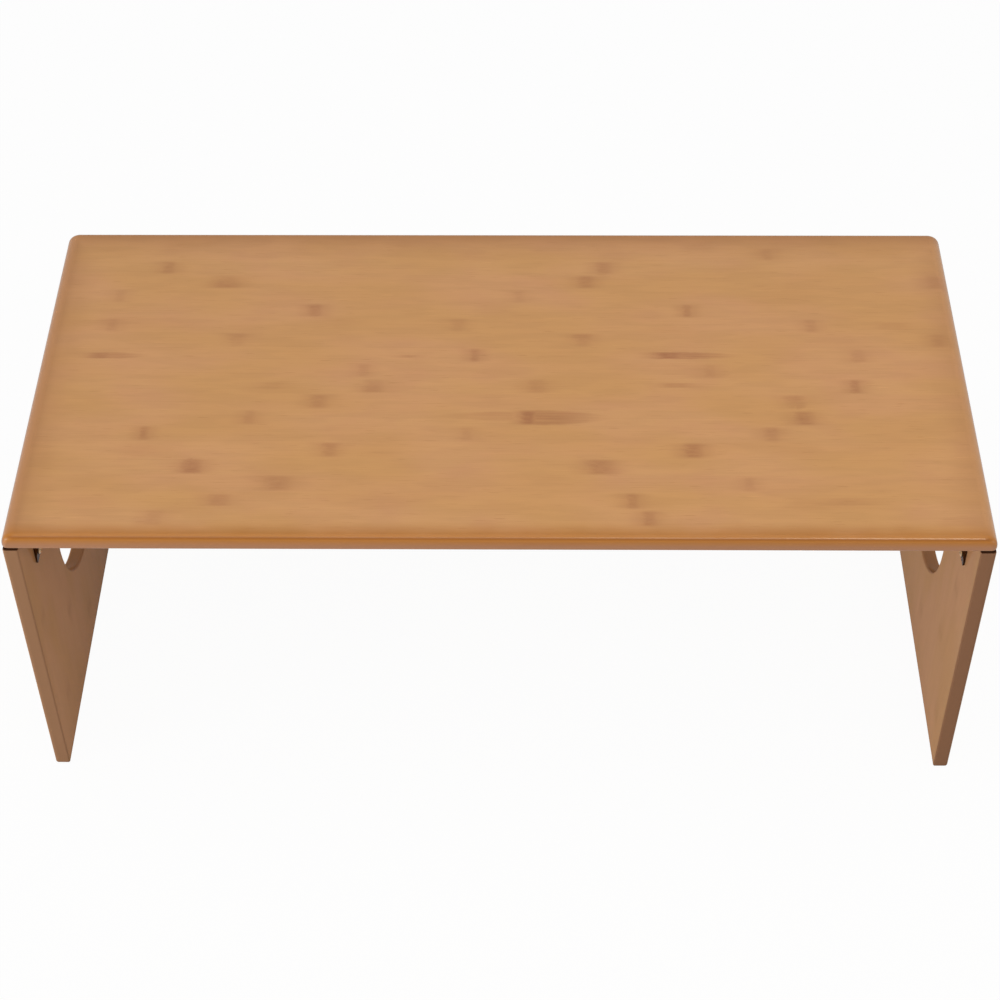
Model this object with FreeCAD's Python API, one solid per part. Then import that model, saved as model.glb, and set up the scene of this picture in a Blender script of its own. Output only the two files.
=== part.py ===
import FreeCAD, Part
import math
import os

from FreeCAD import Vector

# A low table of laminated bamboo: one flat top and two panel legs, each with a round hole.
# The legs fold inward under the top on four riveted brackets.
# X runs along the table, Y from the front to the rear, Z up. The origin lies on the floor
# under the middle of the top. All sizes are in millimetres.

# The whole table
table_width = 800.0
table_depth = 380.0
table_height = 300.0

# Tabletop, whose two short ends are rounded far more than its front and rear
top_thickness = 15.0
end_edge_radius = 12.0
front_edge_radius = 5.0
rear_edge_radius = 5.0
under_edge_radius = 2.5

# Leg panels, standing flush with the ends of the top
leg_thickness = 13.0
leg_head_gap = 1.5
leg_outer_radius = 3.0
leg_corner_radius = 1.5
leg_edge_radius = 1.2
leg_hole_radius = 80.0
wood_above_hole = 35.5
hole_edge_radius = 2.0

# Folding brackets, pressed from steel plate
bracket_inset = 46.0
bracket_width = 24.0
plate_thickness = 1.8
bend_radius = 0.6
pivot_offset = 9.0
plate_clearance = 0.3
ear_length = 46.0
flange_curve_radius = 60.0
top_arm_length = 64.0
leg_arm_length = 58.0
arm_end_radius = 2.0
stop_tab_height = 8.0

# Pivot rivets and the washers between the ears
rivet_radius = 2.5
rivet_clearance = 0.05
rivet_head_radius = 4.6
rivet_head_height = 1.5
washer_radius = 5.2
washer_thickness = 0.6
washer_clearance = 0.1

# Wood screws with pan heads, in a row along each arm
screw_length = 10.0
screw_radius = 1.75
screw_tip_length = 2.5
screw_head_radius = 3.5
screw_head_height = 2.2
screw_head_rim = 0.9
screw_hole_clearance = 0.35
pilot_clearance = 0.05
pilot_end_room = 0.5
screw_place_shares = (0.42, 0.66, 0.88)

# How far a cutting shape runs past what it cuts, and how near an edge must lie to be picked
overrun = 1.0
pick_distance = 0.01

# A rounded edge takes no more than this share of the wall or corner beside it
rounding_share = 0.95

# Sizes that follow from those above
underside = table_height - top_thickness
leg_height = underside - leg_head_gap
leg_inner_face = table_width / 2 - leg_thickness
hole_height = leg_height - wood_above_hole - leg_hole_radius
ear_radius = pivot_offset - plate_thickness - plate_clearance
ear_gap = washer_thickness + 2 * washer_clearance
leg_arm_width = bracket_width - 2 * (plate_thickness + ear_gap)
bore_radius = rivet_radius + rivet_clearance

SIDES = ("left", "right")
ENDS = ("front", "rear")


def limited(radius, wall):
    """A rounding radius that still fits the wall or corner beside it."""
    return min(radius, rounding_share * wall)


def plan_outline(low, high, radii, height):
    """A level rectangle whose corners are rounded one by one.

    The radii go round from the front left corner: front left, front right, rear right, rear left.
    """
    corners = (
        (Vector(low.x, low.y, height), Vector(0, -1, 0), Vector(1, 0, 0)),
        (Vector(high.x, low.y, height), Vector(1, 0, 0), Vector(0, 1, 0)),
        (Vector(high.x, high.y, height), Vector(0, 1, 0), Vector(-1, 0, 0)),
        (Vector(low.x, high.y, height), Vector(-1, 0, 0), Vector(0, -1, 0)),
    )
    starts = []
    ends = []
    arcs = []
    for (corner, arriving, leaving), radius in zip(corners, radii):
        start = corner - arriving * radius
        end = corner + leaving * radius
        centre = start + leaving * radius
        middle = centre + (corner - centre) / math.sqrt(2)
        starts.append(start)
        ends.append(end)
        arcs.append(Part.Arc(start, middle, end).toShape() if radius > 0 else None)
    edges = []
    for number, arc in enumerate(arcs):
        if arc is not None:
            edges.append(arc)
        following = (number + 1) % len(arcs)
        edges.append(Part.LineSegment(ends[number], starts[following]).toShape())
    return Part.Wire(edges)


def edges_at_height(solid, height):
    """The edges of a solid that lie level at one height."""
    picked = []
    for edge in solid.Edges:
        box = edge.BoundBox
        if abs(box.ZMin - height) < pick_distance and abs(box.ZMax - height) < pick_distance:
            picked.append(edge)
    return picked


def edges_around_face(solid, place):
    """The edges around a board's front or rear face, all but the one underneath."""
    picked = []
    for edge in solid.Edges:
        box = edge.BoundBox
        if abs(box.YMin - place) < pick_distance and abs(box.YMax - place) < pick_distance:
            if box.ZMax > underside + pick_distance:
                picked.append(edge)
    return picked


def rims_across(solid, radius):
    """The circular edges of one radius whose axis runs along the table."""
    picked = []
    for edge in solid.Edges:
        curve = edge.Curve
        if isinstance(curve, Part.Circle) and abs(curve.Radius - radius) < pick_distance:
            if abs(curve.Axis.x) > rounding_share:
                picked.append(edge)
    return picked


def screw_places(arm_length):
    """Where the screws stand along an arm."""
    return [share * arm_length for share in screw_place_shares]


def side_outline(arm_length):
    """Side view of an arm: a round ear about the pivot that falls in a hollow curve to a strip."""
    pivot = Vector(pivot_offset, 0, pivot_offset)
    toe = Vector(ear_length, 0, plate_thickness)
    run = toe - pivot
    touch_angle = math.atan2(run.z, run.x) + math.acos(ear_radius / run.Length)
    crown_angle = (math.pi + touch_angle) / 2
    crown = pivot + Vector(math.cos(crown_angle), 0, math.sin(crown_angle)) * ear_radius
    shoulder = pivot + Vector(math.cos(touch_angle), 0, math.sin(touch_angle)) * ear_radius
    slope = shoulder - toe
    half_turn = math.atan2(slope.z, -slope.x) / 2
    reach = limited(flange_curve_radius * math.tan(half_turn), arm_length - ear_length)
    curve_radius = reach / math.tan(half_turn)
    slope_end = toe + slope * (reach / slope.Length)
    strip_start = toe + Vector(reach, 0, 0)
    curve_centre = strip_start + Vector(0, 0, curve_radius)
    hollow = curve_centre - Vector(math.sin(half_turn), 0, math.cos(half_turn)) * curve_radius
    heel = Vector(pivot_offset - ear_radius, 0, 0)
    heel_top = Vector(heel.x, 0, pivot_offset)
    tip_top = Vector(arm_length, 0, plate_thickness)
    tip = Vector(arm_length, 0, 0)
    edges = [
        Part.LineSegment(heel, heel_top).toShape(),
        Part.Arc(heel_top, crown, shoulder).toShape(),
        Part.LineSegment(shoulder, slope_end).toShape(),
        Part.Arc(slope_end, hollow, strip_start).toShape(),
        Part.LineSegment(strip_start, tip_top).toShape(),
        Part.LineSegment(tip_top, tip).toShape(),
        Part.LineSegment(tip, heel).toShape(),
    ]
    return Part.Wire(edges)


def channel_section(width):
    """Cross section of a pressed channel: a flat web with a bend and a flange on each side."""
    outer = plate_thickness + bend_radius
    flange_top = pivot_offset + ear_radius + overrun
    diagonal = 1 / math.sqrt(2)
    edges = []
    for hand in (-1, 1):
        side = hand * width / 2
        inner_side = side - hand * plate_thickness
        bend_middle = side - hand * outer
        low_start = Vector(0, bend_middle, 0)
        low_middle = Vector(0, bend_middle + hand * outer * diagonal, outer - outer * diagonal)
        low_end = Vector(0, side, outer)
        high_start = Vector(0, bend_middle, plate_thickness)
        high_middle = Vector(
            0, bend_middle + hand * bend_radius * diagonal, outer - bend_radius * diagonal
        )
        high_end = Vector(0, inner_side, outer)
        flange_outer = Vector(0, side, flange_top)
        flange_inner = Vector(0, inner_side, flange_top)
        edges.append(Part.Arc(low_start, low_middle, low_end).toShape())
        edges.append(Part.LineSegment(low_end, flange_outer).toShape())
        edges.append(Part.LineSegment(flange_outer, flange_inner).toShape())
        edges.append(Part.LineSegment(flange_inner, high_end).toShape())
        edges.append(Part.Arc(high_end, high_middle, high_start).toShape())
    reach = width / 2 - outer
    edges.append(Part.LineSegment(Vector(0, -reach, 0), Vector(0, reach, 0)).toShape())
    web_top = plate_thickness
    edges.append(Part.LineSegment(Vector(0, -reach, web_top), Vector(0, reach, web_top)).toShape())
    return Part.Wire(Part.__sortEdges__(edges))


def make_arm(width, arm_length):
    """One pressed arm, lying along X with its web at the bottom and its ears up."""
    channel = Part.Face(channel_section(width)).extrude(Vector(arm_length, 0, 0))
    side_face = Part.Face(side_outline(arm_length))
    side_face.translate(Vector(0, -width, 0))
    side_block = side_face.extrude(Vector(0, 2 * width, 0))
    low = Vector(0, -width / 2, 0)
    high = Vector(arm_length, width / 2, 0)
    end_radius = limited(arm_end_radius, width / 2)
    plan = plan_outline(low, high, (0, end_radius, end_radius, 0), 0)
    plan_block = Part.Face(plan).extrude(Vector(0, 0, pivot_offset + ear_radius))
    arm = channel.common(side_block).common(plan_block)
    bore_start = Vector(pivot_offset, -width, pivot_offset)
    arm = arm.cut(Part.makeCylinder(bore_radius, 2 * width, bore_start, Vector(0, 1, 0)))
    hole_radius = screw_radius + screw_hole_clearance
    for place in screw_places(arm_length):
        start = Vector(place, 0, -overrun)
        arm = arm.cut(Part.makeCylinder(hole_radius, plate_thickness + 2 * overrun, start))
    return arm


def make_top_arm():
    """The arm under the top, with a tab bent down to stop the leg when it stands upright."""
    arm = make_arm(bracket_width, top_arm_length)
    tab_half_width = leg_arm_width / 2 - plate_thickness - plate_clearance
    corner = Vector(pivot_offset - ear_radius, -tab_half_width, 0)
    tab = Part.makeBox(plate_thickness, 2 * tab_half_width, stop_tab_height, corner)
    return arm.fuse(tab).removeSplitter()


def make_rivet():
    """The pivot pin along Y, with a domed head outside each ear of the top arm."""
    ear_face = bracket_width / 2
    head_top = ear_face + rivet_head_height
    dome_radius = (rivet_head_radius**2 + rivet_head_height**2) / (2 * rivet_head_height)
    half_angle = math.asin(rivet_head_radius / dome_radius) / 2
    dome_reach = dome_radius * math.sin(half_angle)
    dome_drop = dome_radius * (1 - math.cos(half_angle))
    edges = []
    for hand in (-1, 1):
        crown = Vector(0, hand * head_top, 0)
        dome = Vector(dome_reach, hand * (head_top - dome_drop), 0)
        rim = Vector(rivet_head_radius, hand * ear_face, 0)
        neck = Vector(rivet_radius, hand * ear_face, 0)
        edges.append(Part.Arc(crown, dome, rim).toShape())
        edges.append(Part.LineSegment(rim, neck).toShape())
    low_neck = Vector(rivet_radius, -ear_face, 0)
    high_neck = Vector(rivet_radius, ear_face, 0)
    edges.append(Part.LineSegment(low_neck, high_neck).toShape())
    edges.append(Part.LineSegment(Vector(0, -head_top, 0), Vector(0, head_top, 0)).toShape())
    face = Part.Face(Part.Wire(Part.__sortEdges__(edges)))
    rivet = face.revolve(Vector(0, 0, 0), Vector(0, 1, 0), 360)
    rivet.translate(Vector(pivot_offset, 0, pivot_offset))
    return rivet


def make_washers():
    """The two friction washers, each in the gap between an outer and an inner ear."""
    washers = []
    for hand in (-1, 1):
        inner_face = leg_arm_width / 2 + washer_clearance
        near = inner_face if hand > 0 else -inner_face - washer_thickness
        start = Vector(pivot_offset, near, pivot_offset)
        disc = Part.makeCylinder(washer_radius, washer_thickness, start, Vector(0, 1, 0))
        bore = Part.makeCylinder(bore_radius, washer_thickness, start, Vector(0, 1, 0))
        washers.append(disc.cut(bore))
    return Part.makeCompound(washers)


def make_screw(place):
    """A wood screw that points down through the web at one place along an arm."""
    head_top = plate_thickness + screw_head_height
    rim_top = plate_thickness + screw_head_rim
    tip = plate_thickness - screw_length
    dome_height = screw_head_height - screw_head_rim
    dome_radius = (screw_head_radius**2 + dome_height**2) / (2 * dome_height)
    half_angle = math.asin(screw_head_radius / dome_radius) / 2
    dome_reach = dome_radius * math.sin(half_angle)
    dome_drop = dome_radius * (1 - math.cos(half_angle))
    crown = Vector(0, 0, head_top)
    dome = Vector(dome_reach, 0, head_top - dome_drop)
    rim = Vector(screw_head_radius, 0, rim_top)
    seat = Vector(screw_head_radius, 0, plate_thickness)
    neck = Vector(screw_radius, 0, plate_thickness)
    shoulder = Vector(screw_radius, 0, tip + screw_tip_length)
    point = Vector(0, 0, tip)
    edges = [
        Part.Arc(crown, dome, rim).toShape(),
        Part.LineSegment(rim, seat).toShape(),
        Part.LineSegment(seat, neck).toShape(),
        Part.LineSegment(neck, shoulder).toShape(),
        Part.LineSegment(shoulder, point).toShape(),
        Part.LineSegment(point, crown).toShape(),
    ]
    screw = Part.Face(Part.Wire(edges)).revolve(Vector(0, 0, 0), Vector(0, 0, 1), 360)
    screw.translate(Vector(place, 0, 0))
    return screw


def make_screws(arm_length):
    """The row of screws that holds one arm."""
    return Part.makeCompound([make_screw(place) for place in screw_places(arm_length)])


def make_pilot_holes(arm_length):
    """The drilled holes that one arm's screws turn into, below the web."""
    depth = screw_length - plate_thickness + pilot_end_room
    radius = screw_radius + pilot_clearance
    holes = []
    for place in screw_places(arm_length):
        start = Vector(place, 0, overrun)
        holes.append(Part.makeCylinder(radius, depth + overrun, start, Vector(0, 0, -1)))
    return Part.makeCompound(holes)


def turned_under_top(shape):
    """Turn a shape made web down so that its web lies against the underside of the top."""
    turned = shape.copy()
    turned.rotate(Vector(0, 0, 0), Vector(1, 0, 0), 180)
    return turned


def turned_onto_leg(shape):
    """Turn a shape made web down so that its web lies against the inner face of the left leg."""
    turned = shape.copy()
    turned.rotate(Vector(0, 0, 0), Vector(0, 1, 0), 90)
    return turned


def moved_to_corner(shape, side, end):
    """Move a left bracket's piece to one corner of the table, mirrored for the right side."""
    across = table_depth / 2 - bracket_inset
    moved = shape.copy()
    moved.translate(Vector(-leg_inner_face, across if end == "rear" else -across, underside))
    if side == "right":
        moved = moved.mirror(Vector(0, 0, 0), Vector(1, 0, 0))
    return moved


def front_outline(end_radius):
    """Front view of the tabletop: a board whose upper corners are rounded to one radius."""
    edge_shift = end_radius * (1 - 1 / math.sqrt(2))
    half_width = table_width / 2
    front = -table_depth / 2
    low_left = Vector(-half_width, front, underside)
    low_right = Vector(half_width, front, underside)
    edges = [Part.LineSegment(low_left, low_right).toShape()]
    for hand in (-1, 1):
        side = hand * half_width
        low = Vector(side, front, underside)
        side_end = Vector(side, front, table_height - end_radius)
        middle = Vector(side - hand * edge_shift, front, table_height - edge_shift)
        top_start = Vector(side - hand * end_radius, front, table_height)
        edges.append(Part.LineSegment(low, side_end).toShape())
        edges.append(Part.Arc(side_end, middle, top_start).toShape())
    top_reach = half_width - end_radius
    left = Vector(-top_reach, front, table_height)
    right = Vector(top_reach, front, table_height)
    edges.append(Part.LineSegment(left, right).toShape())
    return Part.Wire(Part.__sortEdges__(edges))


def make_tabletop():
    """The bamboo board with its rounded edges and the pilot holes for the top arms."""
    under_radius = limited(under_edge_radius, min(front_edge_radius, rear_edge_radius, top_thickness / 2))
    end_radius = limited(end_edge_radius, top_thickness - under_radius)
    board = Part.Face(front_outline(end_radius)).extrude(Vector(0, table_depth, 0))
    for radius, place in ((front_edge_radius, -table_depth / 2), (rear_edge_radius, table_depth / 2)):
        board = board.makeFillet(limited(radius, end_radius), edges_around_face(board, place))
    board = board.makeFillet(under_radius, edges_at_height(board, underside))
    holes = turned_under_top(make_pilot_holes(top_arm_length))
    for side in SIDES:
        for end in ENDS:
            board = board.cut(moved_to_corner(holes, side, end))
    return board


def make_leg_panel(side):
    """A leg panel with its round hole, and outer edges rounded more than the inner ones."""
    low = Vector(-table_width / 2, -table_depth / 2, 0)
    high = Vector(-leg_inner_face, table_depth / 2, 0)
    inner_radius = limited(leg_corner_radius, leg_thickness / 2)
    outer_radius = limited(leg_outer_radius, leg_thickness - inner_radius)
    radii = (outer_radius, inner_radius, inner_radius, outer_radius)
    panel = Part.Face(plan_outline(low, high, radii, 0)).extrude(Vector(0, 0, leg_height))
    edge_radius = limited(leg_edge_radius, min(radii))
    panel = panel.makeFillet(edge_radius, edges_at_height(panel, 0) + edges_at_height(panel, leg_height))
    hole_start = Vector(low.x - overrun, 0, hole_height)
    hole_depth = leg_thickness + 2 * overrun
    panel = panel.cut(Part.makeCylinder(leg_hole_radius, hole_depth, hole_start, Vector(1, 0, 0)))
    rim_radius = limited(hole_edge_radius, leg_thickness / 2)
    panel = panel.makeFillet(rim_radius, rims_across(panel, leg_hole_radius))
    holes = turned_onto_leg(make_pilot_holes(leg_arm_length))
    for end in ENDS:
        panel = panel.cut(moved_to_corner(holes, "left", end))
    if side == "right":
        panel = panel.mirror(Vector(0, 0, 0), Vector(1, 0, 0))
    return panel


def make_bracket_pieces():
    """The six kinds of piece in a bracket, placed at the left corner of leg and underside."""
    return {
        "top_arm": turned_under_top(make_top_arm()),
        "leg_arm": turned_onto_leg(make_arm(leg_arm_width, leg_arm_length)),
        "pivot_rivet": turned_under_top(make_rivet()),
        "friction_washers": turned_under_top(make_washers()),
        "top_arm_screws": turned_under_top(make_screws(top_arm_length)),
        "leg_arm_screws": turned_onto_leg(make_screws(leg_arm_length)),
    }


def make_table():
    """Every node of the table by name."""
    nodes = {"tabletop": make_tabletop()}
    bracket = make_bracket_pieces()
    for side in SIDES:
        nodes[f"{side}_leg_panel"] = make_leg_panel(side)
        for end in ENDS:
            for name, piece in bracket.items():
                nodes[f"{side}_{end}_{name}"] = moved_to_corner(piece, side, end)
    return nodes


def main():
    os.makedirs("parts", exist_ok=True)
    for name, shape in make_table().items():
        shape.exportStep(os.path.join("parts", f"{name}.step"))
        print(name, len(shape.Solids), shape.isValid(), round(shape.Volume, 1))


main()
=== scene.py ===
import logging
import math
from collections.abc import Callable
from dataclasses import dataclass, replace
from enum import Enum

import bpy
import numpy as np
from mathutils import Euler, Matrix, Vector


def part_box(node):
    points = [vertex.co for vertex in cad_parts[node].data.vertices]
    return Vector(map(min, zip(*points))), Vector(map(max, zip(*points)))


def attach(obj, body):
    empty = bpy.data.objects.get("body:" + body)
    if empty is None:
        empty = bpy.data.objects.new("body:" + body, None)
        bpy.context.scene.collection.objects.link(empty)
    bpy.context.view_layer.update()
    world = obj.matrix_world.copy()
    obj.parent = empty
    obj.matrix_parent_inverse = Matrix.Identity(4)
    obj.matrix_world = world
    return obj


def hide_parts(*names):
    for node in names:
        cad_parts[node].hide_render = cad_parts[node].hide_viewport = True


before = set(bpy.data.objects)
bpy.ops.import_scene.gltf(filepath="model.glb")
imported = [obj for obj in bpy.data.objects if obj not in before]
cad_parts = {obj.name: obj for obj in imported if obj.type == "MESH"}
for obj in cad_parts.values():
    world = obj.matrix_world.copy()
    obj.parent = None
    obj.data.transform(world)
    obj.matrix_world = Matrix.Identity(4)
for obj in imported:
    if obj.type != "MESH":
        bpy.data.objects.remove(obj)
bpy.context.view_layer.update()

# The looks of a low bamboo table with two panel legs that fold on riveted brackets.
# Everything is in metres, X along the table, Y from front to rear, Z up, as in the frame.

log = logging.getLogger("low_table")

MILLIMETRE = 0.001

# An edge that turns by more than this stays sharp
SHARP_DEG = 38

# The middle and the radius of the round hole in each leg, in millimetres from its foot
HOLE_HEIGHT = 168.0
HOLE_RADIUS = 80.0

Number = "Signal | float"
Colour = tuple[float, float, float, float]


def tone(red: float, green: float, blue: float) -> Colour:
    """A colour as a shader takes it, by the usual curve of screens.

    Args:
        red: its red as seen on a screen, 0 to 255.
        green: its green.
        blue: its blue.

    Returns:
        Red, green and blue as amounts of light, and an alpha of one.
    """
    seen = np.array((red, green, blue)) / 255
    light = np.where(seen <= 0.04045, seen / 12.92, ((seen + 0.055) / 1.055) ** 2.4)
    return (*(float(part) for part in light), 1.0)


class Axis(Enum):
    """One of the three directions of the frame."""

    X = 0
    Y = 1
    Z = 2


# Surface maths


def on_two(operation: str) -> Callable[["Signal", Number], "Signal"]:
    """The method that writes one Math node on a signal and another value."""
    return lambda signal, other: signal.recipe.maths(operation, signal, other)


class Signal:
    """A shader socket that can be used in ordinary expressions."""

    __add__ = __radd__ = on_two("ADD")
    __sub__ = on_two("SUBTRACT")
    __mul__ = __rmul__ = on_two("MULTIPLY")
    __truediv__ = on_two("DIVIDE")
    __pow__ = on_two("POWER")
    least = on_two("MINIMUM")
    most = on_two("MAXIMUM")

    def __init__(self, recipe: "Recipe", socket: bpy.types.NodeSocket) -> None:
        """Keep the socket and the recipe that its node belongs to."""
        self.recipe = recipe
        self.socket = socket

    def output(self, name: str) -> "Signal":
        """Another output of the same node."""
        return Signal(self.recipe, self.socket.node.outputs[name])

    def __rsub__(self, other: Number) -> "Signal":
        """Difference, with the signal taken away."""
        return self.recipe.maths("SUBTRACT", other, self)

    def __abs__(self) -> "Signal":
        """Size without its sign."""
        return self.recipe.maths("ABSOLUTE", self)

    def floor(self) -> "Signal":
        """The whole number below."""
        return self.recipe.maths("FLOOR", self)

    def wrapped(self, turn: float) -> "Signal":
        """The remainder after whole turns, never below zero."""
        return self.recipe.maths("WRAP", self, turn, 0.0)

    def rise(self, start: Number, end: Number, low: float = 0.0, high: float = 1.0) -> "Signal":
        """A soft step from low, where the signal is at start, to high, where it is at end."""
        values = {"Value": self, "From Min": start, "From Max": end, "To Min": low, "To Max": high}
        return self.recipe.node("ShaderNodeMapRange", {"interpolation_type": "SMOOTHSTEP"}, values)

    def fall(self, start: float, end: float) -> "Signal":
        """A soft step from one at start to zero at end."""
        return self.rise(start, end, 1.0, 0.0)


class Recipe:
    """The node tree of a material, or of the world, while it is being written."""

    def __init__(self, owner: bpy.types.Material | bpy.types.World) -> None:
        """Empty the owner's node tree."""
        self.owner = owner
        owner.use_nodes = True
        self.tree = owner.node_tree
        self.tree.nodes.clear()

    def node(self, kind: str, settings: dict, values: dict, output: int | str = 0) -> Signal:
        """Add any node.

        Args:
            kind: the node's type.
            settings: its properties, set first; "stops" fills a colour ramp.
            values: numbers, colours or signals for its input sockets, by name or number.
            output: which output the returned signal stands for.

        Returns:
            A signal on that output.
        """
        made = self.tree.nodes.new(kind)
        for name, setting in settings.items():
            if name == "stops":
                self._fill_ramp(made.color_ramp, setting)
            else:
                setattr(made, name, setting)
        for key, value in values.items():
            if isinstance(value, Signal):
                self.tree.links.new(value.socket, made.inputs[key])
            else:
                made.inputs[key].default_value = value
        return Signal(self, made.outputs[output])

    @staticmethod
    def _fill_ramp(ramp: bpy.types.ColorRamp, stops: list[tuple[float, Colour]]) -> None:
        """Put the stops into a stepped ramp, which starts with two of its own."""
        ramp.interpolation = "CONSTANT"
        while len(ramp.elements) < len(stops):
            ramp.elements.new(0.5)
        for element, (position, colour) in zip(ramp.elements, stops):
            element.position = position
            element.color = colour

    def maths(self, operation: str, *values: Number) -> Signal:
        """One Math node on up to three numbers or signals."""
        return self.node("ShaderNodeMath", {"operation": operation}, dict(enumerate(values)))

    def vector(self, x: Number, y: Number, z: Number) -> Signal:
        """Three numbers or signals as one vector."""
        return self.node("ShaderNodeCombineXYZ", {}, {0: x, 1: y, 2: z})

    def mixed(self, share: Number, first: "Signal | Colour", second: "Signal | Colour") -> Signal:
        """Two colours mixed, through the sockets that a Mix node has for colours."""
        settings = {"data_type": "RGBA", "clamp_factor": True}
        return self.node("ShaderNodeMix", settings, {0: share, 6: first, 7: second}, 2)

    def shaded(self, colour: Signal, factor: Number) -> Signal:
        """A colour made darker or lighter by a factor near one."""
        factors = self.vector(factor, factor, factor)
        return self.node("ShaderNodeVectorMath", {"operation": "MULTIPLY"}, {0: colour, 1: factors})

    def noise(self, place: Signal, detail: float = 2.0, roughness: float = 0.5) -> Signal:
        """Soft noise, about 0.5 on average, with features one unit of the place apart."""
        values = {"Vector": place, "Scale": 1.0, "Detail": detail, "Roughness": roughness}
        return self.node("ShaderNodeTexNoise", {"noise_dimensions": "3D"}, values)

    def object_place(self) -> tuple[Signal, Signal, Signal]:
        """The object coordinates as three signals, in millimetres."""
        place = self.node("ShaderNodeTexCoord", {}, {}, "Object")
        split = self.node("ShaderNodeSeparateXYZ", {}, {0: place})
        return tuple(split.output(name) * (1 / MILLIMETRE) for name in "XYZ")

    def object_noise(
        self, width: float, height: float, detail: float = 2.0, roughness: float = 0.5
    ) -> Signal:
        """Noise with features of that width along X and Y and that height along Z, in millimetres."""
        x, y, z = self.object_place()
        return self.noise(self.vector(x / width, y / width, z / height), detail, roughness)

    def relief(self, height: Signal, strength: float, depth: float) -> Signal:
        """A bumped normal, with the depth of the bumps in millimetres."""
        values = {"Strength": strength, "Distance": depth * MILLIMETRE, "Height": height}
        return self.node("ShaderNodeBump", {}, values)

    def finish(self, constants: dict, varying: dict) -> bpy.types.Material:
        """Close the tree with a Principled surface and return the material."""
        self.close(self.node("ShaderNodeBsdfPrincipled", {}, {**constants, **varying}))
        return self.owner

    def close(self, surface: Signal, kind: str = "ShaderNodeOutputMaterial") -> None:
        """Link a surface to the output of the material or the world."""
        made = self.tree.nodes.new(kind)
        self.tree.links.new(surface.socket, made.inputs["Surface"])

    def shown(self) -> Signal:
        """One for the rays that show the background, from the camera, in gloss or through glass."""
        camera = self.node("ShaderNodeLightPath", {}, {}, "Is Camera Ray")
        return camera.most(camera.output("Is Glossy Ray")).most(camera.output("Is Transmission Ray"))


# Finishes


@dataclass(frozen=True)
class Knot:
    """The brown mark that a ring of the bamboo cane leaves on one strip.

    Attributes:
        strip: the strip it lies on, counted from the front.
        share: its place as a share of the board's length along the strips.
        strength: how dark it is, 0 to 1.
        length: how long it is along the strip, in millimetres.
        lean: the side of the strip where it is darkest, from -1 at the front to 1 at the rear.
        streak: how far a thin streak runs from it, in millimetres, negative towards the start.
        cover: the share of the strip's width that it covers.
    """

    strip: int
    share: float
    strength: float
    length: float = 17.0
    lean: float = 0.0
    streak: float = 0.0
    cover: float = 1.0


@dataclass(frozen=True)
class Bore:
    """A round hole through a board, in millimetres.

    Attributes:
        along: its middle along the fibres, from the board's low corner.
        across: its middle across them.
        radius: its radius.
    """

    along: float
    across: float
    radius: float


@dataclass(frozen=True)
class BambooTones:
    """The colours of one board.

    Attributes:
        pale: the lightest strips.
        rosy: strips with more red.
        honey: clouds with more yellow.
        fibre: the darker fibre bundles.
        knot: the knots.
        toned: where the lacquer has gathered along the front.
        toning_and_painted_shade: where it has gathered along the other three sides, close to the start
            partly painted shade, and painted shade on the wall of the bore.
        rim: a painted dark reflection, the darkest line just under the upper edge.
        lower: the outer faces below the upper edge, a paler painted reflection of the floor on the top and
            painted shade on the legs.
        end_grain_and_painted_light: the ends, a painted greyish reflection on the top's ends, and on the
            legs painted shadow in the gap at the head and end grain soaked with lacquer at the foot.
    """

    pale: Colour
    rosy: Colour
    honey: Colour
    fibre: Colour
    knot: Colour
    toned: Colour
    toning_and_painted_shade: Colour
    rim: Colour
    lower: Colour
    end_grain_and_painted_light: Colour


@dataclass(frozen=True)
class Toning:
    """How one side of a board is darkened by the lacquer, close to the top's start partly by painted shade.

    Attributes:
        band: how far from the outline it reaches, in millimetres.
        wide: how dark it is over the whole band, 0 to 1.
        close: how much darker in the half next to the outline.
    """

    band: float
    wide: float
    close: float


@dataclass(frozen=True)
class Grain:
    """Noise drawn out along the fibres.

    Attributes:
        along: how long its features are, in millimetres.
        across: how wide they are.
        through: how deep they are, or None where they go right through.
        shift: how far it moves along from one strip to the next, in features.
        level: how far it lies from other patterns, in features.
        detail: how many finer copies are added.
        roughness: how strong these are, 0 to 1.
    """

    along: float
    across: float
    through: float | None = None
    shift: float = 0.0
    level: float = 0.0
    detail: float = 2.0
    roughness: float = 0.5


@dataclass(frozen=True)
class Spot:
    """Any point of a board, as signals in millimetres from the board's low corner.

    Attributes:
        recipe: the recipe that the signals belong to.
        along: the place along the fibres.
        across: the place across them.
        through: the place through the board.
        length: the board's length along the fibres.
        width: its width across them.
        thickness: its thickness.
        strip: the number of the strip, counted from the front.
        within: the place across that strip, 0 to 1.
        depth: how many layers lie above.
        seed: a number of its own for every strip of every layer.
    """

    recipe: Recipe
    along: Signal
    across: Signal
    through: Signal
    length: float
    width: float
    thickness: float
    strip: Signal
    within: Signal
    depth: Signal
    seed: Signal

    def noise(self, grain: Grain, moved: Signal | None = None, level: Number = 0.0) -> Signal:
        """One pattern of noise at this point.

        Args:
            grain: the size and strength of its features.
            moved: what it moves along with, the seed where it is None.
            level: what is added to its level.

        Returns:
            The noise, about 0.5 on average.
        """
        moved = self.seed if moved is None else moved
        level = level + grain.level
        deep = level if grain.through is None else self.through / grain.through + level
        along = self.along / grain.along + moved * grain.shift
        place = self.recipe.vector(along, self.across / grain.across, deep)
        return self.recipe.noise(place, grain.detail, grain.roughness)

    def gaps(self) -> tuple[Signal, Signal, Signal, Signal]:
        """The distances from the board's start, end, front and rear."""
        return self.along, self.length - self.along, self.across, self.width - self.across

    def outline(self) -> Signal:
        """The distance from the nearest of its four sides."""
        start, end, front, rear = self.gaps()
        return start.least(end).least(front).least(rear)

    def drop(self) -> Signal:
        """The distance below its good face."""
        return self.thickness - self.through


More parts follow.
